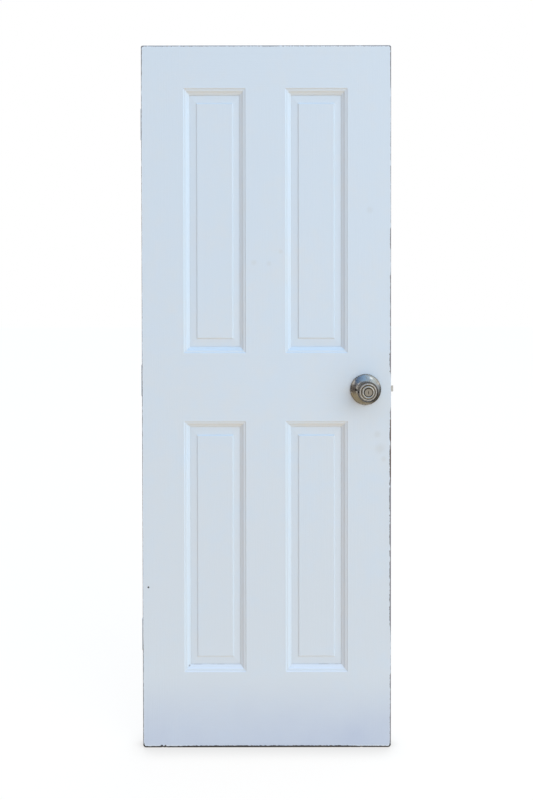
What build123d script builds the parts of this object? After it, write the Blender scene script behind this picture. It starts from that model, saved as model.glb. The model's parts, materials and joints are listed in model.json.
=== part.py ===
from build123d import *
import os
from math import radians

# A four-panel interior door leaf with a knob lockset and three butt hinges, in millimetres.
# X runs to the right as seen from the front, Y away from the viewer and Z up.
# The origin is the middle of the leaf's underside, halfway through its thickness.

# Leaf
leaf_width = 711.0
leaf_height = 2007.5
leaf_thickness = 35.0
hinge_stile_width = 119.5
lock_stile_width = 124.0
mullion_width = 113.0
top_rail_height = 121.5
lock_rail_height = 195.5
lower_opening_height = 719.5
bottom_rail_height = 218.0
arris_radius = 1.5
top_corner_radius = 5.0
bottom_corner_radius = 9.0
# Splinters lost from the lower front arris: scoops at places along the leaf's width
chip_radius = 7.0
chip_place_shares = (0.079, 0.093, 0.16, 0.836, 0.881, 0.907, 0.937)
chip_size_shares = (1.0, 0.85, 0.4, 0.7, 1.0, 0.6, 0.5)
chip_offset_share = 0.5

# Moulded edge of the stiles, rails and mullions, and the groove in it
quirk_depth = 2.2
quirk_slope = 2.5
quirk_width = 3.2
ovolo_width = 7.3
ovolo_depth = 4.2
fillet_width = 6.5
fillet_fall = 3.3
lip_drop = 1.0
groove_depth = 10.0

# Raised panels
panel_play = 2.0
panel_lip_gap = 0.2
bevel_width = 18.5
end_bevel_width = 22.5
bevel_rise = 1.2
riser_width = 3.5
riser_height = 2.5

# Dowels in the joints
dowel_radius = 5.0
dowel_length = 90.0
dowel_chamfer = 1.0
dowel_end_gap = 1.5
rail_dowel_inset = 38.0
mullion_dowel_inset = 26.0

# Knob lockset
backset = 73.0
knob_height = 1028.5
cross_bore_radius = 27.0
edge_bore_radius = 11.2
rose_radius = 43.65
rose_height = 12.0
rose_skirt = 4.0
rose_wall = 1.0
rose_collar_width = 4.0
rose_bulge_shares = (0.6, 0.7)
rose_hole_radius = 2.25
rose_hole_offset = 28.0
mounting_plate_thickness = 2.5
through_bolt_radius = 2.0
through_bolt_offset = 20.0
through_bolt_head_radius = 4.0
through_bolt_head_height = 2.6
knob_radius = 29.0
knob_reach = 61.5
knob_crown_height = 9.5
neck_radius = 13.0
neck_length = 17.0
neck_tail = 6.0
retaining_ring_width = 3.0
retaining_ring_thickness = 1.5
spindle_width = 7.0
spindle_end_depth = 30.0
rod_radius = 1.3
cylinder_length = 26.0
plug_radius = 6.5
keyway_width = 1.8
keyway_height = 8.5
keyway_depth = 22.0
button_shaft_radius = 4.0
button_width = 4.5
button_length = 17.0
button_reach = 10.0
button_corner_radius = 1.5
# Radius and level of the ends of the knob's three beads, from the rim to the groove around its centre
knob_ring_shares = (1.0, 0.914, 0.828, 0.707, 0.62, 0.431, 0.362)
knob_level_shares = (0.0, 0.1, 0.1, 0.4, 0.4, 0.72, 0.72)
knob_bead_share = 0.38
knob_flare_shares = (0.44, 0.35)
knob_bulb_share = 0.78

# Tubular latch
faceplate_thickness = 2.5
faceplate_width = 25.4
faceplate_height = 57.0
faceplate_corner_radius = 6.0
faceplate_screw_offset = 20.6
case_radius = 11.0
case_wall = 2.0
bolt_throw = 9.5
bolt_spare_travel = 0.5
bolt_flat_width = 11.0
bolt_bevel_start = 1.0
bolt_nose_width = 3.0
bolt_tail = 13.0
drawbar_thickness = 2.0
drawbar_height = 8.0
drawbar_seat = 6.0
strap_height = 3.0
crank_width = 3.5
hook_width = 3.0
hook_overlap = 2.7
cam_hub_radius = 6.5
cam_width = 8.0
cam_lug_width = 3.6
knob_turn_deg = 60.0
spring_radius = 6.6
spring_wire_radius = 0.5
spring_turns = 8

# Hinges
hinge_height = 89.0
hinge_leaf_thickness = 2.2
hinge_leaf_reach = 35.0
hinge_gap = 0.5
hinge_knuckle_radius = 5.3
hinge_knuckle_count = 5
hinge_knuckle_gap = 0.25
hinge_pin_radius = 3.0
hinge_pin_head_radius = 4.8
hinge_pin_head_height = 3.0
hinge_barrel_gap = 0.4
hinge_screw_inset = 14.0
hinge_outer_screw_setback = 20.0
hinge_middle_screw_setback = 28.0
top_hinge_drop = 178.0
bottom_hinge_rise = 279.0

# Countersunk screws
hinge_screw_radius = 2.1
hinge_screw_length = 25.0
faceplate_screw_radius = 1.8
faceplate_screw_length = 19.0
screw_head_share = 1.75
screw_slot_width_share = 0.4
screw_slot_depth_share = 0.5

# Clearances
running_gap = 0.05
free_gap = 0.3
overrun = 5.0

# Places worked out from the sizes above
half_thickness = leaf_thickness / 2
left_edge = -leaf_width / 2
right_edge = leaf_width / 2
left_sight = left_edge + hinge_stile_width
right_sight = right_edge - lock_stile_width
opening_width = (right_sight - left_sight - mullion_width) / 2
mullion_left = left_sight + opening_width
mullion_right = mullion_left + mullion_width
lower_opening_top = bottom_rail_height + lower_opening_height
upper_opening_bottom = lower_opening_top + lock_rail_height
upper_opening_top = leaf_height - top_rail_height

stick_width = quirk_width + ovolo_width + fillet_width
stick_depth = quirk_depth + ovolo_depth + fillet_fall + lip_drop
groove_half_width = half_thickness - stick_depth
groove_bottom = stick_width - groove_depth

knob_x = right_edge - backset
neck_hole_radius = neck_radius + free_gap
rose_collar_radius = neck_hole_radius + rose_collar_width
knob_rim_height = knob_reach - knob_crown_height
cylinder_radius = knob_radius * knob_ring_shares[-1]
rod_hole_radius = rod_radius + free_gap

faceplate_back = right_edge - faceplate_thickness
bolt_radius = case_radius - case_wall - free_gap
bolt_travel = bolt_throw + bolt_spare_travel
cam_lug_radius = bolt_travel / radians(knob_turn_deg)
crank_left = knob_x + cam_hub_radius + bolt_travel + free_gap
case_end = crank_left + crank_width + free_gap
bolt_back = faceplate_back - bolt_tail

pin_x = left_edge - hinge_gap / 2
pin_y = half_thickness + hinge_barrel_gap + hinge_knuckle_radius
hinge_bottoms = {
    "top": leaf_height - top_hinge_drop - hinge_height,
    "middle": (leaf_height - top_hinge_drop + bottom_hinge_rise - hinge_height) / 2,
    "bottom": bottom_hinge_rise,
}


def block(low, high):
    """A box between two opposite corners."""
    size = [b - a for a, b in zip(low, high)]
    return Pos(*low) * Box(*size, align=(Align.MIN, Align.MIN, Align.MIN))


def rod(radius, start, direction, length):
    """A cylinder that starts at a point and runs along a direction."""
    return Plane(origin=start, z_dir=direction) * Cylinder(
        radius, length, align=(Align.CENTER, Align.CENTER, Align.MIN)
    )


def screw(radius, length, start, direction, gap=0.0):
    """A countersunk screw whose flat head starts at a point; with a gap, the room that it needs."""
    head_radius = radius * screw_head_share
    head = Cone(
        head_radius + gap,
        radius + gap,
        head_radius - radius,
        align=(Align.CENTER, Align.CENTER, Align.MIN),
    )
    shank = Cylinder(radius + gap, length + gap, align=(Align.CENTER, Align.CENTER, Align.MIN))
    return Plane(origin=start, z_dir=direction) * (head + shank)


def slotted(body, radius, start, direction):
    """Cuts the driver slot into a screw's head."""
    depth = radius * screw_slot_depth_share
    slot = Box(
        radius * screw_slot_width_share,
        radius * screw_head_share * 2 + overrun,
        depth * 2,
    )
    return body - Plane(origin=start, z_dir=direction) * slot


# Frame pieces


def sticking():
    """The moulded edge of a frame piece, with its groove: x runs out from the edge at face level."""
    top = half_thickness - quirk_depth
    low = top - ovolo_depth
    ovolo_end = quirk_width + ovolo_width
    outline = Polyline((0, 0), (0, half_thickness), (quirk_slope, top), (quirk_width, top))
    outline += TangentArc((quirk_width, top), (ovolo_end, low), tangent=(1, 0))
    outline += Polyline(
        (ovolo_end, low),
        (stick_width, low - fillet_fall),
        (stick_width, groove_half_width),
        (groove_bottom, groove_half_width),
        (groove_bottom, 0),
        (0, 0),
    )
    half = make_face(outline)
    return half + mirror(half, about=Plane.XZ)


def section(width, near_moulded, far_moulded):
    """The cross-section of a frame piece of a given width at face level."""
    face = Pos(width / 2, 0) * Rectangle(width, leaf_thickness)
    if far_moulded:
        face += Pos(width, 0) * sticking()
    if near_moulded:
        face += mirror(sticking(), about=Plane.YZ)
    return face


def stile(edge, inward, width):
    """A stile from its outer edge; inward is the direction of the opening along X."""
    plane = Plane(origin=(edge, 0, 0), x_dir=(inward, 0, 0), z_dir=(0, 0, 1))
    return extrude(plane * section(width, False, True), leaf_height)


def rail(bottom, height, moulded_below, moulded_above):
    """A rail between the two stiles, before its ends are coped."""
    plane = Plane(origin=(left_sight, 0, bottom), x_dir=(0, 0, 1), z_dir=(1, 0, 0))
    return extrude(
        plane * section(height, moulded_below, moulded_above), right_sight - left_sight
    )


def mullion(bottom, top):
    """A mullion between two rails, before its ends are coped."""
    plane = Plane(origin=(mullion_left, 0, bottom), x_dir=(1, 0, 0), z_dir=(0, 0, 1))
    return extrude(plane * section(mullion_width, True, True), top - bottom)


def edge_chips():
    """The scoops to be taken out of the lower front arris."""
    chips = []
    for place, size in zip(chip_place_shares, chip_size_shares):
        radius = chip_radius * size
        offset = radius * chip_offset_share
        centre = Pos(left_edge + leaf_width * place, -half_thickness - offset, -offset)
        chips.append(centre * Sphere(radius))
    return chips


def leaf_envelope():
    """The whole leaf as one block with its eased arrises, worn corners and lost splinters."""
    outline = Rectangle(leaf_width, leaf_height, align=(Align.CENTER, Align.MIN))
    outline = fillet(outline.vertices().group_by(Axis.Y)[0], bottom_corner_radius)
    outline = fillet(outline.vertices().group_by(Axis.Y)[-1], top_corner_radius)
    body = extrude(Plane.XZ * outline, half_thickness, both=True)
    faces = body.faces().sort_by(Axis.Y)
    body = fillet(faces[0].edges() + faces[-1].edges(), arris_radius)
    for chip in edge_chips():
        body -= chip
    return body


def panel(left, right, bottom, top):
    """A raised panel for an opening, given by its edges at face level."""
    tongue_inset = groove_bottom + panel_play
    side_riser = stick_width + bevel_width
    end_riser = stick_width + end_bevel_width
    lip_half = groove_half_width - panel_lip_gap
    tongue_half = lip_half - bevel_rise * (stick_width - tongue_inset) / bevel_width
    riser_half = lip_half + bevel_rise
    levels = [
        (tongue_inset, tongue_inset, 0),
        (tongue_inset, tongue_inset, tongue_half),
        (side_riser, end_riser, riser_half),
        (side_riser + riser_width, end_riser + riser_width, riser_half + riser_height),
    ]
    sections = []
    for side_inset, end_inset, height in levels:
        plane = Plane(
            origin=((left + right) / 2, -height, (bottom + top) / 2),
            x_dir=(1, 0, 0),
            z_dir=(0, -1, 0),
        )
        sections.append(plane * Rectangle(right - left - 2 * side_inset, top - bottom - 2 * end_inset))
    half = loft(sections, ruled=True)
    return half + mirror(half, about=Plane.XZ)


def dowel(centre, direction, gap=0.0, end_gap=0.0):
    """A dowel across a joint; with gaps, the hole that it needs."""
    half = dowel_length / 2 + end_gap
    start = Vector(centre) - Vector(direction) * half
    body = rod(dowel_radius + gap, start, direction, half * 2)
    if gap:
        return body
    return chamfer(body.edges().filter_by(GeomType.CIRCLE), dowel_chamfer)


def rail_dowel_places():
    """Where the dowels cross from the rails into the stiles."""
    rails = (
        (0, bottom_rail_height),
        (lower_opening_top, upper_opening_bottom),
        (upper_opening_top, leaf_height),
    )
    return [
        (x, 0, z)
        for bottom, top in rails
        for x in (left_sight + groove_bottom, right_sight - groove_bottom)
        for z in (bottom + rail_dowel_inset, top - rail_dowel_inset)
    ]


def mullion_dowel_places():
    """Where the dowels cross from the mullions into the rails."""
    levels = (
        bottom_rail_height + groove_bottom,
        lower_opening_top - groove_bottom,
        upper_opening_bottom + groove_bottom,
        upper_opening_top - groove_bottom,
    )
    return [
        (x, 0, z)
        for z in levels
        for x in (mullion_left + mullion_dowel_inset, mullion_right - mullion_dowel_inset)
    ]


def dowel_group(places, direction):
    """The dowels at a list of places, as separate solids."""
    return Compound([dowel(place, direction).solid() for place in places])


def drilled(body, places, direction):
    """A frame piece with its dowel holes."""
    for place in places:
        body -= dowel(place, direction, running_gap, dowel_end_gap)
    return body


# Knob lockset


def knob_point(height):
    """A point on the knob's axis, at a height above the front face."""
    return (knob_x, -half_thickness - height, knob_height)


def turned(outline):
    """Turns an outline of radius and height above the front face about the knob's axis."""
    plane = Plane(origin=knob_point(0), x_dir=(1, 0, 0), z_dir=(0, 0, -1))
    return revolve(plane * make_face(outline), Axis(knob_point(0), (0, -1, 0)))


def knob_rod(radius, low, high):
    """A cylinder on the knob's axis between two heights above the front face."""
    return rod(radius, knob_point(low), (0, -1, 0), high - low)


def to_rear(body):
    """The same piece on the rear face."""
    return mirror(body, about=Plane.XZ)


def rose_dome(radius, skirt, collar_radius, height):
    """A dome with a hole in its middle, filled down to the door's face."""
    bulge = (
        collar_radius + (radius - collar_radius) * rose_bulge_shares[0],
        skirt + (height - skirt) * rose_bulge_shares[1],
    )
    outline = Polyline(
        (collar_radius, height),
        (neck_hole_radius, height),
        (neck_hole_radius, 0),
        (radius, 0),
        (radius, skirt),
    )
    outline += ThreePointArc((radius, skirt), bulge, (collar_radius, height))
    return turned(outline)


def rose():
    """The thin cover around the knob's neck."""
    shell = rose_dome(rose_radius, rose_skirt, rose_collar_radius, rose_height)
    hollow = rose_dome(
        rose_radius - rose_wall,
        rose_skirt - rose_wall,
        rose_collar_radius,
        rose_height - rose_wall,
    )
    return shell - hollow


def through_bolt_rods(radius, start_y, length):
    """The two clamping bolts' shanks, or their holes, along Y."""
    return [
        rod(radius, (knob_x, start_y, knob_height + offset), (0, 1, 0), length)
        for offset in (-through_bolt_offset, through_bolt_offset)
    ]


def mounting_plate():
    """The plate behind the front rose, in which the knob's neck turns."""
    plate = knob_rod(rose_radius - rose_wall - running_gap, 0, mounting_plate_thickness)
    plate -= knob_rod(neck_radius + running_gap, -overrun, mounting_plate_thickness + overrun)
    for hole in through_bolt_rods(
        through_bolt_radius + running_gap,
        -half_thickness - mounting_plate_thickness - overrun,
        mounting_plate_thickness + overrun * 2,
    ):
        plate -= hole
    return plate


def through_bolts():
    """The two bolts that clamp the plates together through the leaf, with heads at the rear."""
    outer = half_thickness + mounting_plate_thickness
    shanks = through_bolt_rods(through_bolt_radius, -outer, outer * 2)
    heads = through_bolt_rods(through_bolt_head_radius, outer, through_bolt_head_height)
    slot_depth = through_bolt_radius * screw_slot_depth_share
    bolts = []
    for shank, head in zip(shanks, heads):
        centre = head.center()
        slot = Pos(centre.X, outer + through_bolt_head_height, centre.Z) * Box(
            through_bolt_head_radius * 2 + overrun,
            slot_depth * 2,
            through_bolt_radius * screw_slot_width_share,
        )
        bolts.append((shank + head - slot).solid())
    return Compound(bolts)


def knob_blank():
    """A knob turned in one piece with its neck, before its centre is bored."""
    head = knob_rim_height - neck_length
    flare = (
        neck_radius + (knob_radius - neck_radius) * knob_flare_shares[0],
        neck_length + head * knob_flare_shares[1],
    )
    bulb = (knob_radius, neck_length + head * knob_bulb_share)
    ends = [
        Vector(knob_radius * radius, knob_rim_height + knob_crown_height * level)
        for radius, level in zip(knob_ring_shares, knob_level_shares)
    ]
    outline = Polyline((0, -neck_tail), (neck_radius, -neck_tail), (neck_radius, neck_length))
    outline += TangentArc((neck_radius, neck_length), flare, tangent=(0, 1))
    outline += TangentArc(bulb, flare, tangent=(0, -1))
    outline += Line(bulb, ends[0])
    for outer, inner, groove_end in zip(ends[0::2], ends[1::2], ends[2::2]):
        chord = inner - outer
        crest = (outer + inner) / 2 + Vector(chord.Y, -chord.X) * knob_bead_share
        outline += ThreePointArc(outer, crest, inner)
        outline += Line(inner, groove_end)
    outline += Polyline(ends[-1], (0, ends[-1].Y), (0, -neck_tail))
    return turned(outline)


def spindle_hole():
    """Room for the square spindle in a knob's neck."""
    width = spindle_width + running_gap * 2
    return block(
        (knob_x - width / 2, -half_thickness - spindle_end_depth, knob_height - width / 2),
        (knob_x + width / 2, 0, knob_height + width / 2),
    )


def outside_knob():
    """The front knob, bored for its key cylinder."""
    cylinder_back = knob_reach - cylinder_length
    body = knob_blank() - spindle_hole()
    body -= knob_rod(cylinder_radius, cylinder_back, knob_reach + overrun)
    return body - knob_rod(rod_hole_radius, spindle_end_depth, cylinder_back)


def inside_knob():
    """The rear knob, with a flat centre that the turn button's shaft passes through."""
    face = knob_rod(cylinder_radius, knob_reach - cylinder_length, knob_reach)
    body = knob_blank() + face - spindle_hole()
    body -= knob_rod(button_shaft_radius + running_gap, spindle_end_depth, knob_reach + overrun)
    return to_rear(body)


def key_cylinder():
    """The fixed sleeve in the front knob that the plug turns in."""
    back = knob_reach - cylinder_length
    sleeve = knob_rod(cylinder_radius, back, knob_reach)
    return sleeve - knob_rod(plug_radius + running_gap, back - overrun, knob_reach + overrun)


def key_plug():
    """The plug that a key turns, with an upright keyway."""
    plug = knob_rod(plug_radius, knob_reach - cylinder_length, knob_reach)
    front = -half_thickness - knob_reach
    return plug - block(
        (knob_x - keyway_width / 2, front - overrun, knob_height - keyway_height / 2),
        (knob_x + keyway_width / 2, front + keyway_depth, knob_height + keyway_height / 2),
    )


def turn_button():
    """The rear knob's turn button: a shaft and a thumb piece."""
    shaft = knob_rod(button_shaft_radius, spindle_end_depth + free_gap, knob_reach + free_gap)
    front = -half_thickness - knob_reach - free_gap
    thumb = block(
        (knob_x - button_width / 2, front - button_reach, knob_height - button_length / 2),
        (knob_x + button_width / 2, front, knob_height + button_length / 2),
    )
    outer = thumb.faces().sort_by(Axis.Y)[0]
    return to_rear(shaft + fillet(outer.edges(), button_corner_radius))


def lock_rod():
    """The rod in the hollow spindle that joins the plug to the turn button."""
    start = -half_thickness - knob_reach + cylinder_length
    end = half_thickness + spindle_end_depth + free_gap
    return rod(rod_radius, (knob_x, start, knob_height), (0, 1, 0), end - start)


def spindle():
    """The hollow square spindle between the two knobs."""
    end = half_thickness + spindle_end_depth
    half = spindle_width / 2
    body = block((knob_x - half, -end, knob_height - half), (knob_x + half, end, knob_height + half))
    hole = rod(rod_hole_radius, (knob_x, -end - overrun, knob_height), (0, 1, 0), (end + overrun) * 2)
    return body - hole


def retaining_rings():
    """The rings that keep the knobs' necks in the mounting plates."""
    top = -free_gap
    bottom = top - retaining_ring_thickness
    ring = knob_rod(neck_radius + retaining_ring_width, bottom, top)
    ring -= knob_rod(neck_radius, bottom - overrun, top + overrun)
    return Compound([ring.solid(), to_rear(ring).solid()])


# Tubular latch


def latch_cam():
    """The cam on the spindle, whose lug points down at rest."""
    half = cam_width / 2
    hub = rod(cam_hub_radius, (knob_x, -half, knob_height), (0, 1, 0), cam_width)
    hub += block(
        (knob_x - cam_lug_width / 2, -half, knob_height - cam_lug_radius),
        (knob_x + cam_lug_width / 2, half, knob_height),
    )
    hole = spindle_width / 2 + running_gap
    return hub - block(
        (knob_x - hole, -half - overrun, knob_height - hole),
        (knob_x + hole, half + overrun, knob_height + hole),
    )


def bolt_bar(radius, flat_width, start_x, end_x):
    """The latch bolt's section along X, or the opening for it: a round bar with two flats."""
    round_bar = rod(radius, (start_x, 0, knob_height), (1, 0, 0), end_x - start_x)
    slab = block(
        (start_x, -flat_width / 2, knob_height - radius),
        (end_x, flat_width / 2, knob_height + radius),
    )
    return round_bar & slab


def drawbar_room(start_x, end_x, gap):
    """The flat run of the drawbar along X, with a gap around it."""
    half_thick = drawbar_thickness / 2 + gap
    half_high = drawbar_height / 2 + gap
    return block(
        (start_x, -half_thick, knob_height - half_high), (end_x, half_thick, knob_height + half_high)
    )


def latch_bolt():
    """The sprung bolt, bevelled towards the front, where the jamb would meet it."""
    tip = right_edge + bolt_throw
    half_flat = bolt_flat_width / 2
    body = bolt_bar(bolt_radius, bolt_flat_width, bolt_back, tip)
    bevel = Polyline(
        (right_edge + bolt_bevel_start, -half_flat),
        (tip, -half_flat),
        (tip, half_flat - bolt_nose_width),
        close=True,
    )
    wedge = extrude(Pos(0, 0, knob_height) * make_face(bevel), bolt_radius, both=True)
    return body - wedge - drawbar_room(bolt_back, bolt_back + drawbar_seat, 0)


def latch_drawbar():
    """The flat bar behind the bolt, cranked under the cam and hooked behind its lug."""
    half_thick = drawbar_thickness / 2
    strap_top = knob_height - cam_lug_radius - free_gap * 2
    strap_bottom = strap_top - strap_height
    hook_right = knob_x - cam_lug_width / 2 - free_gap
    body = drawbar_room(crank_left, bolt_back + drawbar_seat, 0)
    body += block(
        (crank_left, -half_thick, strap_bottom),
        (crank_left + crank_width, half_thick, knob_height + drawbar_height / 2),
    )
    body += block(
        (hook_right - hook_width, -half_thick, strap_bottom),
        (crank_left + crank_width, half_thick, strap_top),
    )
    return body + block(
        (hook_right - hook_width, -half_thick, strap_bottom),
        (hook_right, half_thick, knob_height - cam_lug_radius + hook_overlap),
    )


def latch_case():
    """The tube in the edge of the leaf that the bolt slides in, closed at its inner end."""
    bore_start = case_end + case_wall
    tube = rod(case_radius, (case_end, 0, knob_height), (1, 0, 0), faceplate_back - case_end)
    tube -= rod(
        case_radius - case_wall, (bore_start, 0, knob_height), (1, 0, 0), faceplate_back - bore_start
    )
    return tube - drawbar_room(case_end - overrun, bore_start + overrun, free_gap)


def latch_spring():
    """The coil spring around the drawbar, between the case's end and the bolt."""
    start = case_end + case_wall + spring_wire_radius + running_gap
    end = bolt_back - spring_wire_radius - running_gap
    path = Helix(
        (end - start) / spring_turns,
        end - start,
        spring_radius,
        center=(start, 0, knob_height),
        direction=(1, 0, 0),
    )
    wire = Plane(origin=path @ 0, z_dir=path % 0) * Circle(spring_wire_radius)
    return sweep(wire, path=path, is_frenet=True)


def faceplate_screw_places():
    """Where the faceplate's screws enter the edge of the leaf."""
    return [
        (right_edge, 0, knob_height + offset)
        for offset in (-faceplate_screw_offset, faceplate_screw_offset)
    ]


def faceplate_blank():
    """The faceplate's outline, which is also its mortise."""
    plate = block(
        (faceplate_back, -faceplate_width / 2, knob_height - faceplate_height / 2),
        (right_edge, faceplate_width / 2, knob_height + faceplate_height / 2),
    )
    return fillet(plate.edges().filter_by(Axis.X), faceplate_corner_radius)


def latch_faceplate():
    """The plate let into the edge of the leaf around the bolt."""
    plate = faceplate_blank()
    plate -= bolt_bar(
        bolt_radius + free_gap,
        bolt_flat_width + free_gap * 2,
        faceplate_back - overrun,
        right_edge + overrun,
    )
    for place in faceplate_screw_places():
        plate -= screw(
            faceplate_screw_radius, faceplate_screw_length, place, (-1, 0, 0), running_gap
        )
    return plate


def screw_group(radius, length, places, direction):
    """Slotted countersunk screws at a list of places, as separate solids."""
    return Compound(
        [
            slotted(screw(radius, length, place, direction), radius, place, direction).solid()
            for place in places
        ]
    )


# Hinges


def hinge_screw_places(bottom, x):
    """The three staggered screw places of a hinge leaf whose face is at x."""
    outer = pin_y - hinge_outer_screw_setback
    middle = pin_y - hinge_middle_screw_setback
    return [
        (x, outer, bottom + hinge_screw_inset),
        (x, middle, bottom + hinge_height / 2),
        (x, outer, bottom + hinge_height - hinge_screw_inset),
    ]


def hinge_plate(bottom, side):
    """The flat of a hinge leaf; side is 1 on the stile and -1 on the jamb."""
    inner = pin_x + side * hinge_gap / 2
    outer = inner + side * hinge_leaf_thickness
    return block(
        (min(inner, outer), pin_y - hinge_leaf_reach, bottom),
        (max(inner, outer), pin_y, bottom + hinge_height),
    )


def hinge_leaf(bottom, side, first_knuckle):
    """A hinge leaf with every other knuckle, cut back around the other leaf's knuckles."""
    pitch = hinge_height / hinge_knuckle_count
    half_gap = hinge_knuckle_gap / 2
    body = hinge_plate(bottom, side)
    for row in range(hinge_knuckle_count):
        low = bottom + row * pitch
        if row % 2 == first_knuckle:
            start = low + half_gap if row else low
            end = low + pitch - half_gap if row + 1 < hinge_knuckle_count else low + pitch
            body += rod(hinge_knuckle_radius, (pin_x, pin_y, start), (0, 0, 1), end - start)
        else:
            body -= rod(
                hinge_knuckle_radius + free_gap,
                (pin_x, pin_y, low - half_gap),
                (0, 0, 1),
                pitch + hinge_knuckle_gap,
            )
    body -= rod(
        hinge_pin_radius + running_gap,
        (pin_x, pin_y, bottom - overrun),
        (0, 0, 1),
        hinge_height + overrun * 2,
    )
    for place in hinge_screw_places(bottom, pin_x + side * hinge_gap / 2):
        direction = (side, 0, 0)
        body -= screw(hinge_screw_radius, hinge_screw_length, place, direction, running_gap)
        body -= rod(hinge_screw_radius + free_gap, place, direction, hinge_leaf_thickness + overrun)
    return body


def hinge_pin(bottom):
    """A hinge pin with a button head on the top knuckle."""
    top = bottom + hinge_height
    pin = rod(hinge_pin_radius, (pin_x, pin_y, bottom), (0, 0, 1), hinge_height)
    head = rod(hinge_pin_head_radius, (pin_x, pin_y, top), (0, 0, 1), hinge_pin_head_height)
    crown = head.faces().sort_by(Axis.Z)[-1]
    return pin + fillet(crown.edges(), hinge_pin_head_height / 2)


# The leaf's frame: stiles run through, rails are coped to them, and mullions to the rails
envelope = leaf_envelope()
hinge_stile = stile(left_edge, 1, hinge_stile_width)
lock_stile = stile(right_edge, -1, lock_stile_width)
top_rail = rail(upper_opening_top, top_rail_height, True, False)
lock_rail = rail(lower_opening_top, lock_rail_height, True, True)
bottom_rail = rail(0, bottom_rail_height, False, True)
top_rail = top_rail - hinge_stile - lock_stile
lock_rail = lock_rail - hinge_stile - lock_stile
bottom_rail = bottom_rail - hinge_stile - lock_stile
upper_mullion = mullion(upper_opening_bottom, upper_opening_top) - lock_rail - top_rail
lower_mullion = mullion(bottom_rail_height, lower_opening_top) - bottom_rail - lock_rail

rail_joints = rail_dowel_places()
mullion_joints = mullion_dowel_places()
left_joints = [place for place in rail_joints if place[0] < 0]
right_joints = [place for place in rail_joints if place[0] > 0]


def joints_between(places, low, high):
    """The dowel places whose height lies between two levels."""
    return [place for place in places if low < place[2] < high]


def rail_drilled(body, low, high):
    """A rail with the holes for the dowels at its ends and in its moulded edges."""
    body = drilled(body, joints_between(rail_joints, low, high), (1, 0, 0))
    near = joints_between(mullion_joints, low - stick_width, high + stick_width)
    return drilled(body, near, (0, 0, 1))


hinge_stile = drilled(hinge_stile & envelope, left_joints, (1, 0, 0))
lock_stile = drilled(lock_stile & envelope, right_joints, (1, 0, 0))
top_rail = rail_drilled(top_rail & envelope, upper_opening_top, leaf_height)
lock_rail = rail_drilled(lock_rail, lower_opening_top, upper_opening_bottom)
bottom_rail = rail_drilled(bottom_rail & envelope, 0, bottom_rail_height)
upper_mullion = drilled(
    upper_mullion, joints_between(mullion_joints, upper_opening_bottom, upper_opening_top), (0, 0, 1)
)
lower_mullion = drilled(
    lower_mullion, joints_between(mullion_joints, bottom_rail_height, lower_opening_top), (0, 0, 1)
)

# Mortises and holes for the hinges
hinge_screw_list = []
for bottom in hinge_bottoms.values():
    hinge_stile -= hinge_plate(bottom, 1)
    for place in hinge_screw_places(bottom, left_edge):
        hinge_stile -= screw(
            hinge_screw_radius, hinge_screw_length, place, (1, 0, 0), running_gap
        )
        hinge_screw_list.append(place)

# Bores and mortise for the lockset
lock_stile -= rod(
    cross_bore_radius,
    (knob_x, -half_thickness - overrun, knob_height),
    (0, 1, 0),
    leaf_thickness + overrun * 2,
)
lock_stile -= rod(edge_bore_radius, (knob_x, 0, knob_height), (1, 0, 0), backset + overrun)
lock_stile -= faceplate_blank()
for place in faceplate_screw_places():
    lock_stile -= screw(
        faceplate_screw_radius, faceplate_screw_length, place, (-1, 0, 0), running_gap
    )

outside_rose = rose() - rod(
    rose_hole_radius,
    (knob_x - rose_hole_offset, -half_thickness - rose_height - overrun, knob_height),
    (0, 1, 0),
    rose_height + overrun,
)

nodes = {
    "hinge_stile": hinge_stile,
    "lock_stile": lock_stile,
    "top_rail": top_rail,
    "lock_rail": lock_rail,
    "bottom_rail": bottom_rail,
    "upper_mullion": upper_mullion,
    "lower_mullion": lower_mullion,
    "upper_left_panel": panel(left_sight, mullion_left, upper_opening_bottom, upper_opening_top),
    "upper_right_panel": panel(mullion_right, right_sight, upper_opening_bottom, upper_opening_top),
    "lower_left_panel": panel(left_sight, mullion_left, bottom_rail_height, lower_opening_top),
    "lower_right_panel": panel(mullion_right, right_sight, bottom_rail_height, lower_opening_top),
    "rail_dowels": dowel_group(rail_joints, (1, 0, 0)),
    "mullion_dowels": dowel_group(mullion_joints, (0, 0, 1)),
    "outside_rose": outside_rose,
    "inside_rose": to_rear(rose()),
    "outside_mounting_plate": mounting_plate(),
    "inside_mounting_plate": to_rear(mounting_plate()),
    "through_bolts": through_bolts(),
    "outside_knob": outside_knob(),
    "inside_knob": inside_knob(),
    "retaining_rings": retaining_rings(),
    "key_cylinder": key_cylinder(),
    "key_plug": key_plug(),
    "lock_rod": lock_rod(),
    "turn_button": turn_button(),
    "spindle": spindle(),
    "latch_cam": latch_cam(),
    "latch_case": latch_case(),
    "latch_faceplate": latch_faceplate(),
    "faceplate_screws": screw_group(
        faceplate_screw_radius, faceplate_screw_length, faceplate_screw_places(), (-1, 0, 0)
    ),
    "latch_bolt": latch_bolt(),
    "latch_drawbar": latch_drawbar(),
    "latch_spring": latch_spring(),
    "hinge_screws": screw_group(
        hinge_screw_radius, hinge_screw_length, hinge_screw_list, (1, 0, 0)
    ),
}
for name, bottom in hinge_bottoms.items():
    nodes[f"{name}_hinge_stile_leaf"] = hinge_leaf(bottom, 1, 1)
    nodes[f"{name}_hinge_jamb_leaf"] = hinge_leaf(bottom, -1, 0)
    nodes[f"{name}_hinge_pin"] = hinge_pin(bottom)

os.makedirs("parts", exist_ok=True)
for name, shape in nodes.items():
    export_step(shape, f"parts/{name}.step")
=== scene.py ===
import json
import math

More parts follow.
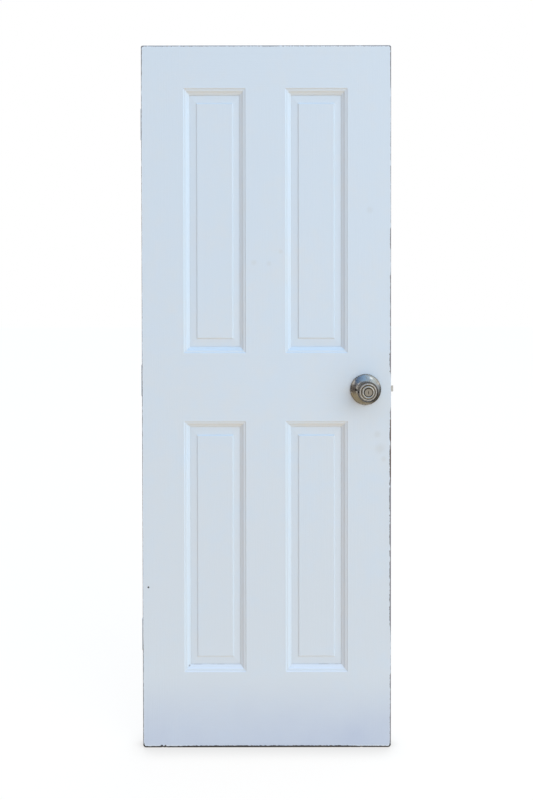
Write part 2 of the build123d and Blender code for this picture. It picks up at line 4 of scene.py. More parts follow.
import bpy
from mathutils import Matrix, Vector


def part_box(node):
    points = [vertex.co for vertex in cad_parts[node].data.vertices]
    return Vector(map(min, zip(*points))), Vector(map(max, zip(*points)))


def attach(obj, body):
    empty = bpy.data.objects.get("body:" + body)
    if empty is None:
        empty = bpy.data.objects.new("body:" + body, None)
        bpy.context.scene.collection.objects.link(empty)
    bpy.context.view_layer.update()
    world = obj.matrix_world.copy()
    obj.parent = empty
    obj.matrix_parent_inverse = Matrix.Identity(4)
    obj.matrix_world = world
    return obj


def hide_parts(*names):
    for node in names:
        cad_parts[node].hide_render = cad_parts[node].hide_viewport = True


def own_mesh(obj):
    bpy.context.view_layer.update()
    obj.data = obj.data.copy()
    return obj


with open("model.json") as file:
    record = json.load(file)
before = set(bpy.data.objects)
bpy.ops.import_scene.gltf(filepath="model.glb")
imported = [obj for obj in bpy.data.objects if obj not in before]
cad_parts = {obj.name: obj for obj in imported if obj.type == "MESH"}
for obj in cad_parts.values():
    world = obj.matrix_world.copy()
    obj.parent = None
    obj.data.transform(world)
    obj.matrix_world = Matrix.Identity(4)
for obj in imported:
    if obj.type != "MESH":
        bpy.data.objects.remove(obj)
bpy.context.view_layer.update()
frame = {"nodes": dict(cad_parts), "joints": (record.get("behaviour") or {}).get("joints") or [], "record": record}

# A four-panel door in old white paint, with a tarnished knob, on a pale floor.
# Lengths are metres in the model's own frame: X to the right, Y away from the viewer, Z up.

# Camera; its focal length is given in pixels of an image this high
image_height = 800
focal_pixels = 719.5
camera_distance = 2.05
camera_side = 0.0004
camera_height = 1.33
camera_pitch_deg = -0.62
camera_roll_deg = 0.085
camera_shift_y = -0.1354

# Small hole of the rose: how far out it lies, as a share of the rose's radius, and the painted shade around it
rose_hole_share = 0.6415
hole_shade_radius = 0.0034
hole_shade_core = 0.7

# Sizes read from the model
hinge_stile_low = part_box("hinge_stile")[0]
lock_stile_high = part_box("lock_stile")[1]
half_width = (lock_stile_high.x - hinge_stile_low.x) / 2
half_thickness = lock_stile_high.y
leaf_height = lock_stile_high.z
knob_axis = Vector(next(j["pos_m"] for j in frame["joints"] if j["name"] == "knob_turn"))
knob_low, knob_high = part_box("outside_knob")
knob_radius = (knob_high.x - knob_low.x) / 2
rose_low, rose_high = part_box("outside_rose")
rose_radius = (rose_high.x - rose_low.x) / 2
rose_hole_place = knob_axis - Vector((rose_radius * rose_hole_share, 0, 0))
bottom_rail_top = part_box("bottom_rail")[1].z

# Textures: sizes and relief, the direction of the painted rim shade, and how much longer than wide scratches are
brush_width = 0.0035
brush_length = 0.11
mottle_size = 0.16
blotch_size = 0.03
stipple_size = 0.0016
ragged_size = 0.004
dash_length = 0.018
paint_relief = 0.0002
lathe_pitch = 0.00035
lathe_relief = 0.000008
tarnish_size = 0.009
shaded_side_direction = (0.87, 0.0, -0.5)
scratch_size = 0.0012
scratch_relief = 0.00003
wood_relief = 0.0002
scratch_stretch = 12

# Wear, grime, painted shade, painted highlights and painted light of the paint: lengths and heights
corner_wear_radius = 0.009
arris_line_width = 0.0015
top_arris_line_width = 0.0022
bottom_dark_reach = 0.0053
bottom_dark_top = 0.016
plate_reach = 0.05
wear_softness = 0.0003
highlight_reach = 0.004
joint_inset = 0.008
crack_width = 0.0012
corner_shade_reach = 0.005
knob_grime_and_shade_reach = 0.17
low_shade_top = bottom_rail_top
ledge_low = 0.3
ledge_high = 0.6

# Wear, grime and painted shade of the paint: shares, factors and a count
corner_shade_samples = 8
stretch_fade = 0.2
bottom_dark_middle = 1.12
bottom_dark_ends = 0.9
end_zone = (0.5, 0.8)

# How strongly each mark covers the paint, from 0 to 1
low_shade_strength = 0.55
plate_shelter = 0.5
highlight_strength = 0.35
low_highlight_strength = 0.8
knob_grime_and_shade_strength = 0.08
scuff_strength = 0.12
smear_strength = 0.16
corner_shade_strength = 0.4
ledge_light_strength = 0.6
corner_mark_strength = 0.7

# How far out each kind of mark covers in full, as a share of its radius
scuff_core = 0.2
smear_core = 0.1
chip_core = 0.6
corner_mark_core = 0.3

# Shares of the noises, and the values between which each mask goes from its least to its most
mottle_share = 0.6
blotch_share = 0.4
stipple_share = 0.4
height_tone = 0.15
low_shade_evenness = 0.4
ragged_lift = 0.5
tone_range = (0.3, 0.7)
dash_range = (0.3, 0.55)
least_dash = 0.5
ragged_range = (0.2, 0.8)
ragged_spread = (0.8, 1.2)
corner_shade_range = (0.9, 0.4)
ledge_range = (0.25, 0.5)
crack_range = (0.5, 0.6)
hinge_chip_range = (0.66, 0.69)
stain_range = (0.5, 0.75)
stain_strength = 0.6

# Roughness, and how metallic the chips of the hinges are
paint_roughness = 0.42
brush_roughness = 0.12
bare_roughness = 0.3
hinge_roughness = 0.4
hinge_chip_roughness = 0.2
hinge_chip_metal = 0.7
nickel_roughness = 0.25
steel_roughness = 0.3
scratch_roughness = 0.2
grain_roughness = 0.7
knob_polish = 0.10
rose_polish = 0.16
tarnish_roughness = 0.2

# Painted shade on the lower right of the turned pieces' rims, by direction and by share of the radius; tarnish in
# patches
shaded_side_range = (0.6, 0.95)
shaded_rim_range = (0.80, 0.92)
rim_shade_strength = 0.75
patch_range = (0.45, 0.75)
patch_strength = 0.5
patch_rough_range = (0.35, 0.75)

# Worn stretches of the side arrises: middle height, half length, how much further the wear reaches there
right_stretches = (
    (1.950, 0.060, 0.0015),
    (1.700, 0.100, 0.0004),
    (1.460, 0.030, 0.0018),
    (1.250, 0.120, 0.0016),
    (1.110, 0.035, 0.0032),
    (0.940, 0.030, 0.0020),
    (0.850, 0.080, 0.0030),
    (0.680, 0.095, 0.0036),
    (0.480, 0.135, 0.0032),
    (0.110, 0.110, 0.0019),
)
left_stretches = ((0.150, 0.150, 0.0006), (0.930, 0.120, 0.0003), (1.970, 0.050, 0.0012))
brown_middle = 0.860
brown_half_length = 0.090

# Marks on the front: distance from the leaf's left edge, height, radius
paint_chips = (
    (0.0166, 0.462, 0.0032),
    (0.0540, 0.0048, 0.0046),
    (0.0640, 0.0052, 0.0032),
    (0.5860, 0.0044, 0.0028),
)
corner_marks = ((0.1328, 0.2328, 0.0040),)
corner_mark_depth = 0.0085
scuffs = ((0.320, 1.391, 0.012), (0.363, 1.388, 0.010), (0.397, 1.422, 0.009), (0.650, 1.540, 0.014))
smears = ((0.679, 0.859, 0.022), (0.672, 0.900, 0.014), (0.690, 0.830, 0.012))

# Light: an even part, parts that grow to the right and upwards, warmth from below, shade from the left
even_light = (0.772, 0.840, 0.900)
side_light = (0.18, 0.34, 0.46)
top_light = (0.04, 0.28, 0.60)
ground_light = (0.52, 0.24, 0.02)
left_light = (-0.20, -0.20, -0.19)
key_place = (7.2, -8.9, 6.7)
key_size = 9.0
key_radiance = 1.6
key_colour = (1.0, 0.98, 0.95)
floor_lift = 0.81
contact_reach = 0.075
contact_shade = 0.84
contact_range = (0.5, 1.0)
floor_size = 40.0
floor_drop = 0.0004
white = (1.0, 1.0, 1.0, 1.0)


def srgb(red, green, blue):
    """A colour given in display values from 0 to 255, as the linear values that nodes take."""
    linear = []
    for value in (red, green, blue):
        share = value / 255
        linear.append(share / 12.92 if share <= 0.04045 else ((share + 0.055) / 1.055) ** 2.4)
    return (*linear, 1.0)


cool_paint = srgb(208, 221, 233)
warm_paint = srgb(212, 221, 229)
# Pale paint, also the painted highlight along the arrises
pale_paint_and_highlight = srgb(221, 231, 239)
undercoat = srgb(126, 125, 130)
worn_wood = srgb(78, 60, 52)
# Dark worn wood, darkened further as painted shade
dark_wear_and_shade = srgb(42, 40, 41)
# Grime, also the painted shade in corners and around the knob
grime_and_shade = srgb(176, 172, 160)
# Painted shade low on the leaf, darker and bluer
low_painted_shade = srgb(170, 184, 212)
crack = srgb(120, 116, 112)
# Painted sky light on faces that look upwards
low_ledge_light = srgb(226, 229, 236)
high_ledge_light = srgb(200, 217, 232)
nickel = srgb(196, 192, 184)
nickel_tarnish = srgb(140, 124, 102)
# Oxide in the hollows, also painted shade on the rims and the plate
oxide_and_painted_shade = srgb(54, 50, 46)
# Painted shade of the rose's hole
hole_shade_colour = srgb(22, 20, 19)
steel = srgb(160, 160, 160)
steel_rust = srgb(110, 78, 58)
pale_wood = srgb(206, 176, 134)
dark_wood = srgb(166, 128, 86)
floor_paint = srgb(132, 122, 112)

# Colours of the reflection cards from left to right
sky_stops = (
    (0.0, srgb(80, 94, 118)),
    (0.3, srgb(124, 158, 206)),
    (0.5, srgb(166, 208, 255)),
    (0.75, srgb(228, 244, 255)),
)
lamp_stops = ((0.0, srgb(222, 238, 255)), (1.0, srgb(236, 244, 255)))
dusk_stops = ((0.0, srgb(98, 92, 90)), (1.0, srgb(102, 96, 94)))
haze_stops = ((0.0, srgb(206, 220, 240)), (1.0, srgb(178, 186, 192)))
ground_stops = ((0.0, srgb(186, 172, 142)), (1.0, srgb(154, 150, 138)))

# Reflection cards: name, place, width, depth, colours, whether it faces the knob, strength
reflection_cards = (
    ("sky", (0.6, -2.5, 2.9), 6.0, 3.2, sky_stops, True, 1.0),
    ("lamp", (1.7, -2.05, 2.75), 0.6, 0.6, lamp_stops, True, 2.3),
    ("dusk", (-1.7, -2.1, 0.9), 3.0, 1.6, dusk_stops, True, 1.0),
    ("haze", (2.4, -1.4, 0.75), 2.6, 1.5, haze_stops, True, 1.0),
    ("ground", (0.2, -1.7, 0.01), 4.8, 2.9, ground_stops, False, 1.0),
)

# The finish of the knob's rings, as shares of its radius from the centre outwards; the dark outer rim from 0.86 is
# a painted reflection of dark surroundings
knob_finish_and_shade_shares = (
    (0.00, srgb(146, 139, 128)),
    (0.345, srgb(144, 138, 127)),
    (0.375, oxide_and_painted_shade),
    (0.42, oxide_and_painted_shade),
    (0.46, srgb(206, 202, 194)),
    (0.58, srgb(198, 194, 186)),
    (0.63, srgb(90, 82, 66)),
    (0.70, srgb(84, 78, 66)),
    (0.74, srgb(214, 208, 200)),
    (0.82, srgb(206, 200, 192)),
    (0.86, srgb(96, 94, 92)),
    (1.00, srgb(112, 110, 108)),
)
rose_finish_shares = (
    (0.00, oxide_and_painted_shade),
    (0.36, oxide_and_painted_shade),
    (0.50, srgb(150, 142, 132)),
    (0.62, nickel),
    (0.94, nickel),
    (1.00, srgb(110, 104, 96)),
)


class Shader:
    """Builds the nodes of one material or of the world."""

    def __init__(self, owner):
        owner.use_nodes = True
        self.tree = owner.node_tree
        self.tree.nodes.clear()

    def add(self, kind, **settings):
        node = self.tree.nodes.new(kind)
        for name, value in settings.items():
            setattr(node, name, value)
        return node

    def feed(self, socket, value):
        if isinstance(value, bpy.types.NodeSocket):
            self.tree.links.new(value, socket)
        else:
            socket.default_value = value

    def math(self, operation, first, second=0.0):
        node = self.add("ShaderNodeMath", operation=operation)
        self.feed(node.inputs[0], first)
        self.feed(node.inputs[1], second)
        return node.outputs[0]

    def vector(self, operation, first, second=(0.0, 0.0, 0.0)):
        node = self.add("ShaderNodeVectorMath", operation=operation)
        self.feed(node.inputs[0], first)
        self.feed(node.inputs[1], second)
        return node.outputs["Value" if operation in ("LENGTH", "DISTANCE", "DOT_PRODUCT") else "Vector"]

    def scaled(self, colour, amount):
        node = self.add("ShaderNodeVectorMath", operation="SCALE")
        self.feed(node.inputs[0], colour)
        self.feed(node.inputs["Scale"], amount)
        return node.outputs["Vector"]

    def mix(self, factor, first, second):
        node = self.add("ShaderNodeMix", data_type="RGBA")
        colour_sockets = [socket for socket in node.inputs if socket.type == "RGBA"]
        self.feed(node.inputs[0], factor)
        self.feed(colour_sockets[0], first)
        self.feed(colour_sockets[1], second)
        return next(socket for socket in node.outputs if socket.type == "RGBA")

    def step(self, value, start, end, low=0.0, high=1.0):
        """Low at start and high at end, with a smooth change between them; start may be the larger."""
        node = self.add("ShaderNodeMapRange", interpolation_type="SMOOTHSTEP")
        self.feed(node.inputs["Value"], value)
        self.feed(node.inputs["From Min"], start)
        self.feed(node.inputs["From Max"], end)
        self.feed(node.inputs["To Min"], low)
        self.feed(node.inputs["To Max"], high)
        return node.outputs[0]

    def noise(self, place, size, detail=3.0):
        """Noise whose blotches are about as large as size, which may differ along the three axes."""
        sizes = size if isinstance(size, tuple) else (size, size, size)
        node = self.add("ShaderNodeTexNoise")
        self.feed(node.inputs["Vector"], self.vector("DIVIDE", place, sizes))
        self.feed(node.inputs["Scale"], 1.0)
        self.feed(node.inputs["Detail"], detail)
        return node.outputs[0]

    def place(self):
        return self.add("ShaderNodeTexCoord").outputs["Object"]

    def split(self, vector):
        node = self.add("ShaderNodeSeparateXYZ")
        self.feed(node.inputs[0], vector)
        return node.outputs["X"], node.outputs["Y"], node.outputs["Z"]

    def colours(self, value, stops):
        """A colour looked up along a row of stops."""
        node = self.add("ShaderNodeValToRGB")
        elements = node.color_ramp.elements
        while len(elements) < len(stops):
            elements.new(1.0)
        for element, (position, colour) in zip(elements, stops):
            element.position = position
            element.color = colour
        self.feed(node.inputs[0], value)
        return node.outputs[0]

    def surface(self, colour, roughness, height, relief, metallic=0.0):
        """Ends the material in one surface shader, with bump from a height."""
        bump = self.add("ShaderNodeBump")
        self.feed(bump.inputs["Height"], height)
        self.feed(bump.inputs["Distance"], relief)
        shader = self.add("ShaderNodeBsdfPrincipled")
        self.feed(shader.inputs["Base Color"], colour)
        self.feed(shader.inputs["Roughness"], roughness)
        self.feed(shader.inputs["Metallic"], metallic)
        self.feed(shader.inputs["Normal"], bump.outputs["Normal"])
        output = self.add("ShaderNodeOutputMaterial")
        self.feed(output.inputs["Surface"], shader.outputs[0])

    def seen_directly(self):
        """1 for camera, glossy and transmission rays."""
        path = self.add("ShaderNodeLightPath").outputs
        seen = self.math("MAXIMUM", path["Is Camera Ray"], path["Is Glossy Ray"])
        return self.math("MAXIMUM", seen, path["Is Transmission Ray"])


def arris_distance(shader, x, y, z):
    """How far a point of the leaf's surface lies from its outer arris, which is rounded at the corners."""
    from_side = shader.math("SUBTRACT", half_width, shader.math("ABSOLUTE", x))
    from_end = shader.math("MINIMUM", z, shader.math("SUBTRACT", leaf_height, z))
    from_face = shader.math("SUBTRACT", half_thickness, shader.math("ABSOLUTE", y))
    side_part = shader.math("MAXIMUM", shader.math("SUBTRACT", corner_wear_radius, from_side), 0.0)
    end_part = shader.math("MAXIMUM", shader.math("SUBTRACT", corner_wear_radius, from_end), 0.0)
    squares = shader.math("ADD", shader.math("POWER", side_part, 2.0), shader.math("POWER", end_part, 2.0))
    from_outline = shader.math("SUBTRACT", corner_wear_radius, shader.math("SQRT", squares))
    return shader.math("MAXIMUM", from_outline, from_face)


def stretch_mask(shader, z, middle, half_length, amount=1.0):
    """A mask around a height, which fades out at both ends of the stretch."""
    offset = shader.math("ABSOLUTE", shader.math("SUBTRACT", z, middle))
    outer = half_length * (1 + stretch_fade)
    inner = half_length * (1 - stretch_fade)
    return shader.step(offset, outer, inner, 0.0, amount)


def stretch_reach(shader, z, stretches):
    """How much further than usual the wear reaches at a height."""
    reach = 0.0
    for middle, half_length, amount in stretches:
        worn = stretch_mask(shader, z, middle, half_length, amount)
        reach = shader.math("MAXIMUM", reach, worn)
    return reach


def spots(shader, place, marks, core, depth=0.0):
    """A mask of round marks on the front face, or this deep in its moulding."""
    mask = 0.0
    for across, height, radius in marks:
        centre = (across - half_width, depth - half_thickness, height)
        distance = shader.vector("DISTANCE", place, centre)
        mask = shader.math("MAXIMUM", mask, shader.step(distance, radius, radius * core))
    return mask


def joint_crack(shader, z, node):
    """A mask of the hairline along the lower end of a panel where the moulding meets it."""
    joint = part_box(node)[0].z + joint_inset
    from_joint = shader.math("ABSOLUTE", shader.math("SUBTRACT", z, joint))
    return shader.step(from_joint, crack_width, 0.0)


def painted_wood(name, brush_sizes, panel_node=None):
    """Old white brushed paint, worn through along the leaf's arrises, with painted shade, painted highlights and
    painted sky light.
    """
    material = bpy.data.materials.new(name)
    shader = Shader(material)
    place = shader.place()
    x, y, z = shader.split(place)

    brush = shader.noise(place, brush_sizes)
    stipple = shader.noise(place, stipple_size, 1.0)
    mottle = shader.noise(place, mottle_size)
    blotches = shader.noise(place, blotch_size)
    tone = shader.math("MULTIPLY", mottle, mottle_share)
    tone = shader.math("ADD", tone, shader.math("MULTIPLY", blotches, blotch_share))
    tone = shader.math("ADD", tone, shader.step(z, leaf_height, 0.0, -height_tone, height_tone))
    colour = shader.mix(shader.step(tone, *tone_range), cool_paint, warm_paint)
    # Painted shade: the bottom rail turns darker and bluer towards the floor
    low_shaded = shader.step(z, low_shade_top, 0.0, 0.0, low_shade_strength)
    low_shaded = shader.math("MULTIPLY", low_shaded, shader.math("ADD", mottle, low_shade_evenness))
    colour = shader.mix(low_shaded, colour, low_painted_shade)

    from_arris = arris_distance(shader, x, y, z)
    on_right = shader.math("GREATER_THAN", x, 0.0)
    left_reach = stretch_reach(shader, z, left_stretches)
    right_reach = stretch_reach(shader, z, right_stretches)
    further = shader.math("MULTIPLY", on_right, shader.math("SUBTRACT", right_reach, left_reach))
    further = shader.math("ADD", left_reach, further)
    from_knob = shader.math("ABSOLUTE", shader.math("SUBTRACT", z, knob_axis.z))
    beside_plate = shader.step(from_knob, plate_reach, plate_reach / 2, 0.0, plate_shelter)
    beside_plate = shader.math("MULTIPLY", on_right, beside_plate)
    # A thin grey line along every arris, wider along the top
    hairline = shader.step(z, leaf_height - corner_wear_radius, leaf_height, arris_line_width, top_arris_line_width)
    hairline = shader.math("MULTIPLY", hairline, shader.math("SUBTRACT", 1.0, beside_plate))
    ragged = shader.noise(place, ragged_size)
    dashes = shader.noise(place, (ragged_size, ragged_size, dash_length), 4.0)
    reach = shader.math("ADD", further, hairline)
    reach = shader.math("MULTIPLY", reach, shader.step(dashes, *dash_range, least_dash, 1.0))
    reach = shader.math("MULTIPLY", reach, shader.math("ADD", ragged, ragged_lift))
    depth = shader.math("SUBTRACT", from_arris, reach)
    worn = shader.step(depth, wear_softness, -wear_softness)
    # Painted highlight: a pale band just inside the arris
    arris_highlight = shader.step(depth, highlight_reach, 0.0, 0.0, highlight_strength)
    colour = shader.mix(arris_highlight, colour, pale_paint_and_highlight)
    brown = stretch_mask(shader, z, brown_middle, brown_half_length)
    edge_colour = shader.mix(shader.math("MULTIPLY", brown, on_right), undercoat, worn_wood)
    colour = shader.mix(worn, colour, edge_colour)

    # Bottom line: worn bare wood with painted shade under the lower arris, nearly black
    near_end = shader.step(shader.math("ABSOLUTE", x), half_width * end_zone[0], half_width * end_zone[1])
    low_reach = shader.math("MULTIPLY", bottom_dark_reach, shader.step(ragged, *ragged_range, *ragged_spread))
    end_share = shader.step(near_end, 0.0, 1.0, bottom_dark_middle, bottom_dark_ends)
    low_reach = shader.math("MULTIPLY", low_reach, end_share)
    low_depth = shader.math("SUBTRACT", from_arris, low_reach)
    low_down = shader.step(z, bottom_dark_top, bottom_dark_top / 2)
    # Painted highlight: a stronger pale band above the dark bottom line, towards the ends
    low_arris_highlight = shader.step(low_depth, highlight_reach, 0.0, 0.0, low_highlight_strength)
    low_arris_highlight = shader.math("MULTIPLY", low_arris_highlight, near_end)
    colour = shader.mix(shader.math("MULTIPLY", low_arris_highlight, low_down), colour, pale_paint_and_highlight)
    bottom_wear_and_shade = shader.math("MULTIPLY", shader.step(low_depth, wear_softness, -wear_softness), low_down)
    colour = shader.mix(bottom_wear_and_shade, colour, dark_wear_and_shade)

    # Grime from hands with painted shade, in a soft ring around the knob
    knob_grime_and_shade = shader.step(shader.vector("DISTANCE", place, tuple(knob_axis)), knob_grime_and_shade_reach, rose_radius)
    knob_grime_and_shade = shader.math("MULTIPLY", knob_grime_and_shade, shader.math("MULTIPLY", mottle, knob_grime_and_shade_strength))
    colour = shader.mix(knob_grime_and_shade, colour, grime_and_shade)
    scuffed = spots(shader, place, scuffs, scuff_core)
    colour = shader.mix(shader.math("MULTIPLY", scuffed, scuff_strength), colour, grime_and_shade)
    smeared = spots(shader, place, smears, smear_core)
    colour = shader.mix(shader.math("MULTIPLY", smeared, smear_strength), colour, grime_and_shade)
    # Chips show worn wood, darkened with painted shade
    chipped = spots(shader, place, paint_chips, chip_core)
    colour = shader.mix(chipped, colour, dark_wear_and_shade)
    # Painted shade: inside corners and creases of the mouldings darken by ambient occlusion
    occlusion = shader.add("ShaderNodeAmbientOcclusion", samples=corner_shade_samples)
    shader.feed(occlusion.inputs["Distance"], corner_shade_reach)
    painted_corner_shade = shader.step(occlusion.outputs["AO"], *corner_shade_range, 0.0, corner_shade_strength)
    colour = shader.mix(painted_corner_shade, colour, grime_and_shade)
    # Painted light: faces that look upwards take a pale bluish sky light, whiter low on the leaf
    facing_up = shader.split(shader.add("ShaderNodeNewGeometry").outputs["Normal"])[2]
    painted_ledge_light = shader.step(facing_up, *ledge_range, 0.0, ledge_light_strength)
    ledge_light_colour = shader.mix(shader.step(z, ledge_low, ledge_high), low_ledge_light, high_ledge_light)
    colour = shader.mix(painted_ledge_light, colour, ledge_light_colour)
    marked = spots(shader, place, corner_marks, corner_mark_core, corner_mark_depth)
    colour = shader.mix(shader.math("MULTIPLY", marked, corner_mark_strength), colour, undercoat)
    if panel_node and panel_node.startswith("lower"):
        cracked = joint_crack(shader, z, panel_node)
        cracked = shader.math("MULTIPLY", cracked, shader.step(blotches, *crack_range))
        colour = shader.mix(cracked, colour, crack)

    lost = shader.math("MAXIMUM", shader.math("MAXIMUM", worn, bottom_wear_and_shade), chipped)
    roughness = shader.math("ADD", paint_roughness, shader.math("MULTIPLY", brush, brush_roughness))
    roughness = shader.math("ADD", roughness, shader.math("MULTIPLY", lost, bare_roughness))
    height = shader.math("ADD", brush, shader.math("MULTIPLY", stipple, stipple_share))
    height = shader.math("SUBTRACT", height, lost)
    shader.surface(colour, roughness, height, paint_relief)
    return material


def turned_nickel(name, finish_and_shade_shares, full_radius, polish):
    """Tarnished nickel with fine lathe lines around the knob's axis, a finish that follows the radius, and painted
    shade on the lower right of the rim.
    """
    material = bpy.data.materials.new(name)
    shader = Shader(material)
    place = shader.place()
    offset = shader.vector("SUBTRACT", place, tuple(knob_axis))
    offset = shader.vector("MULTIPLY", offset, (1.0, 0.0, 1.0))
    radius = shader.vector("LENGTH", offset)
    share = shader.math("DIVIDE", radius, full_radius)
    colour = shader.colours(share, finish_and_shade_shares)
    # Painted shade: the rim darkens on its lower right side
    outward = shader.vector("DOT_PRODUCT", shader.vector("NORMALIZE", offset), shaded_side_direction)
    painted_rim_shade = shader.step(outward, *shaded_side_range)
    painted_rim_shade = shader.math("MULTIPLY", painted_rim_shade, shader.step(share, *shaded_rim_range, 0.0, rim_shade_strength))
    colour = shader.mix(painted_rim_shade, colour, oxide_and_painted_shade)
    patches = shader.noise(place, tarnish_size, 4.0)
    colour = shader.mix(shader.step(patches, *patch_range, 0.0, patch_strength), colour, nickel_tarnish)
    # Painted shade: the rose's small hole and its edge are painted black
    from_hole = shader.vector("SUBTRACT", place, tuple(rose_hole_place))
    from_hole = shader.vector("LENGTH", shader.vector("MULTIPLY", from_hole, (1.0, 0.0, 1.0)))
    painted_hole_shade = shader.step(from_hole, hole_shade_radius, hole_shade_radius * hole_shade_core)
    colour = shader.mix(painted_hole_shade, colour, hole_shade_colour)
    lathe = shader.noise(shader.scaled((1.0, 0.0, 0.0), radius), lathe_pitch, 1.0)
    roughness = shader.step(patches, *patch_rough_range, polish, polish + tarnish_roughness)
    shader.surface(colour, roughness, lathe, lathe_relief, 1.0)
    return material


def worn_metal(name, base, stain, roughness):
    """Plain brushed metal with fine scratches and stained patches."""
    material = bpy.data.materials.new(name)
    shader = Shader(material)
    place = shader.place()
    scratches = shader.noise(place, (scratch_size, scratch_size, scratch_size * scratch_stretch))
    patches = shader.step(shader.noise(place, tarnish_size), *stain_range, 0.0, stain_strength)
    colour = shader.mix(patches, base, stain)
    rough = shader.math("ADD", roughness, shader.math("MULTIPLY", scratches, scratch_roughness))
    shader.surface(colour, rough, scratches, scratch_relief, 1.0)
    return material


def painted_hinge(name):
    """Hinges painted over with the door, chipped to the steel."""
    material = bpy.data.materials.new(name)
    shader = Shader(material)
    place = shader.place()
    blotches = shader.noise(place, tarnish_size)
    chips = shader.step(shader.noise(place, ragged_size, 5.0), *hinge_chip_range)
    colour = shader.mix(blotches, cool_paint, pale_paint_and_highlight)
    colour = shader.mix(chips, colour, steel_rust)
    rough = shader.math("ADD", hinge_roughness, shader.math("MULTIPLY", chips, hinge_chip_roughness))
    height = shader.math("SUBTRACT", blotches, chips)
    metallic = shader.math("MULTIPLY", chips, hinge_chip_metal)
    shader.surface(colour, rough, height, paint_relief, metallic)
    return material


def grained(name, pale, dark):
    """A dull finish with straight streaks of two colours, for bare wood and for the mounting plate, painted dark
    as the shade seen through the rose's hole.
    """
    material = bpy.data.materials.new(name)
    shader = Shader(material)
    place = shader.place()
    grain = shader.noise(place, (brush_length, brush_width, brush_length))
    colour = shader.mix(grain, pale, dark)
    shader.surface(colour, grain_roughness, grain, wood_relief)
    return material


def dress():
    """Gives every piece of the model its finish."""
    upright = (brush_width, brush_width, brush_length)
    level = (brush_length, brush_width, brush_width)
    by_slot = {
        "painted_wood": painted_wood("paint_upright", upright),
        "bare_wood": grained("bare_wood", pale_wood, dark_wood),
        "satin_nickel": worn_metal("plain_nickel", nickel, nickel_tarnish, nickel_roughness),
        "plated_steel": worn_metal("plated_steel", steel, steel_rust, steel_roughness),
        "painted_hinge": painted_hinge("painted_hinge"),
    }
    knob = turned_nickel("knob_nickel", knob_finish_and_shade_shares, knob_radius, knob_polish)
    rose = turned_nickel("rose_nickel", rose_finish_shares, rose_radius, rose_polish)
    # Painted shade: the mounting plates are dark where they show through the rose's hole
    plate = grained("plate_painted_shade", hole_shade_colour, oxide_and_painted_shade)
    rail = painted_wood("paint_level", level)
    by_node = {"outside_rose": rose, "inside_rose": rose}
    by_node.update({"outside_mounting_plate": plate, "inside_mounting_plate": plate})
    for node in ("outside_knob", "inside_knob", "key_cylinder", "key_plug"):
        by_node[node] = knob
    for node in frame["nodes"]:
        if node.endswith("_rail"):
            by_node[node] = rail
        if node.endswith("_panel"):
            by_node[node] = painted_wood("paint_" + node, upright, node)
    for part in frame["record"]["subparts"]:
        materials = frame["nodes"][part["node"]].data.materials
        materials.clear()
        materials.append(by_node.get(part["node"], by_slot[part["material_slot"]]))


def fit_spring():
    """Shows the latch's spring as a copy fixed to the door leaf, in place of the original."""
    spring = bpy.data.objects.new("shortening_spring", frame["nodes"]["latch_spring"].data.copy())
    bpy.context.scene.collection.objects.link(spring)
    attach(spring, "door_leaf")
    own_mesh(spring)
    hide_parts("latch_spring")


def light_world():
    """White where it is seen, and soft light that is stronger and cooler from above and the right."""
    world = bpy.data.worlds.new("studio")
    bpy.context.scene.world = world
    shader = Shader(world)
    direction = shader.add("ShaderNodeTexCoord").outputs["Generated"]
    x, _, z = shader.split(direction)
    below = shader.math("MAXIMUM", shader.math("MULTIPLY", z, -1.0), 0.0)
    from_left = shader.math("MAXIMUM", shader.math("MULTIPLY", x, -1.0), 0.0)
    light = even_light
    for colour, amount in ((side_light, x), (top_light, z), (ground_light, below), (left_light, from_left)):
        light = shader.vector("ADD", light, shader.scaled(colour, amount))
    soft = shader.add("ShaderNodeBackground")
    shader.feed(soft.inputs["Color"], light)
    plain = shader.add("ShaderNodeBackground")
    shader.feed(plain.inputs["Color"], white)
    mix = shader.add("ShaderNodeMixShader")
    shader.feed(mix.inputs[0], shader.seen_directly())
    shader.feed(mix.inputs[1], soft.outputs[0])
    shader.feed(mix.inputs[2], plain.outputs[0])
    output = shader.add("ShaderNodeOutputWorld")
    shader.feed(output.inputs["Surface"], mix.outputs[0])


def add_sheet(name, width, depth, material):
    """A flat stage piece that lies level around the origin."""
    right = width / 2
    far = depth / 2
    corners = [(-right, -far, 0), (right, -far, 0), (right, far, 0), (-right, far, 0)]
    mesh = bpy.data.meshes.new(name)
    mesh.from_pydata(corners, [], [(0, 1, 2, 3)])
    mesh.materials.append(material)
    sheet = bpy.data.objects.new(name, mesh)
    bpy.context.scene.collection.objects.link(sheet)
    return sheet


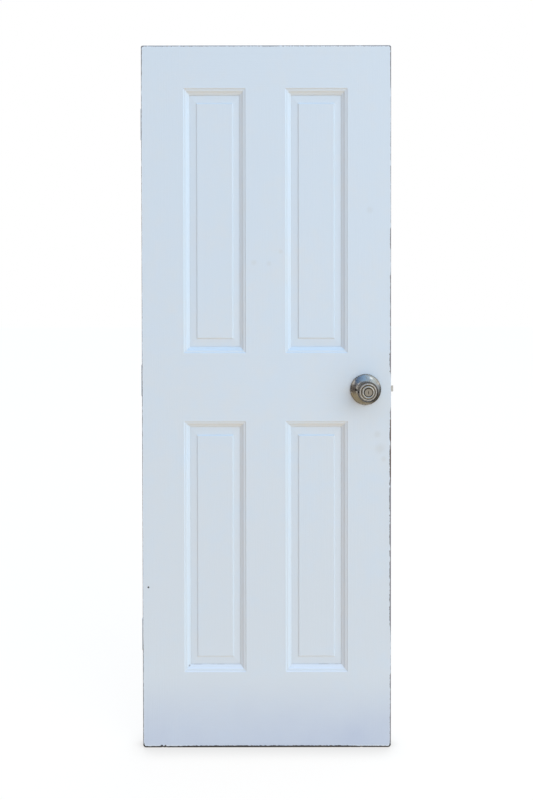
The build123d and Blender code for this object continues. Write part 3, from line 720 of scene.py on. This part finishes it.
def lay_floor():
    """A wide pale floor that reads as white, with a painted contact shadow from ambient occlusion where the door
    stands on it.
    """
    material = bpy.data.materials.new("pale_floor")
    shader = Shader(material)
    # Painted shadow: the floor darkens by ambient occlusion close to the door
    occlusion = shader.add("ShaderNodeAmbientOcclusion")
    shader.feed(occlusion.inputs["Distance"], contact_reach)
    painted_contact_shadow = shader.step(occlusion.outputs["AO"], *contact_range, contact_shade, 1.0)
    diffuse = shader.add("ShaderNodeBsdfDiffuse")
    shader.feed(diffuse.inputs["Color"], shader.scaled(floor_paint[:3], painted_contact_shadow))
    lift = shader.add("ShaderNodeEmission")
    shown = shader.math("MULTIPLY", shader.seen_directly(), floor_lift)
    shader.feed(lift.inputs["Strength"], shader.math("MULTIPLY", shown, painted_contact_shadow))
    both = shader.add("ShaderNodeAddShader")
    shader.feed(both.inputs[0], diffuse.outputs[0])
    shader.feed(both.inputs[1], lift.outputs[0])
    output = shader.add("ShaderNodeOutputMaterial")
    shader.feed(output.inputs["Surface"], both.outputs[0])
    floor = add_sheet("floor", floor_size, floor_size, material)
    floor.location.z = -floor_drop
    floor.visible_diffuse = False


def face_point(thing, place, target):
    """Puts a stage piece or light at a place with its -Z side towards a target."""
    thing.location = place
    thing.rotation_euler = (Vector(target) - Vector(place)).to_track_quat("-Z", "Y").to_euler()


def add_card(name, place, width, depth, stops, facing, strength):
    """A sheet, level or facing the knob, with colours from left to right that show in reflections alone."""
    material = bpy.data.materials.new(name)
    shader = Shader(material)
    across = shader.split(shader.place())[0]
    share = shader.math("ADD", shader.math("DIVIDE", across, width), 0.5)
    glow = shader.add("ShaderNodeEmission")
    shader.feed(glow.inputs["Color"], shader.colours(share, stops))
    shader.feed(glow.inputs["Strength"], strength)
    output = shader.add("ShaderNodeOutputMaterial")
    shader.feed(output.inputs["Surface"], glow.outputs[0])
    card = add_sheet(name, width, depth, material)
    card.location = place
    if facing:
        face_point(card, place, knob_axis)
    card.visible_camera = False
    card.visible_diffuse = False
    card.visible_shadow = False


def add_softbox(name, place, width, depth, radiance, colour):
    """A large area light towards the knob; radiance is how bright its surface looks."""
    data = bpy.data.lights.new(name, "AREA")
    data.shape = "RECTANGLE"
    data.size = width
    data.size_y = depth
    data.energy = radiance * math.pi * width * depth
    data.color = colour
    light = bpy.data.objects.new(name, data)
    bpy.context.scene.collection.objects.link(light)
    face_point(light, place, knob_axis)
    light.visible_glossy = False


def add_camera():
    """A camera almost square to the door, with its frame shifted down."""
    data = bpy.data.cameras.new("camera")
    data.lens = data.sensor_width * focal_pixels / image_height
    data.shift_y = camera_shift_y
    camera = bpy.data.objects.new("camera", data)
    camera.location = (camera_side, -half_thickness - camera_distance, camera_height)
    camera.rotation_euler = (math.radians(90 + camera_pitch_deg), math.radians(camera_roll_deg), 0)
    bpy.context.scene.collection.objects.link(camera)
    bpy.context.scene.camera = camera


dress()
fit_spring()
light_world()
lay_floor()
add_softbox("key", key_place, key_size, key_size, key_radiance, key_colour)
for card in reflection_cards:
    add_card(*card)
add_camera()
bpy.context.scene.view_settings.view_transform = "Standard"
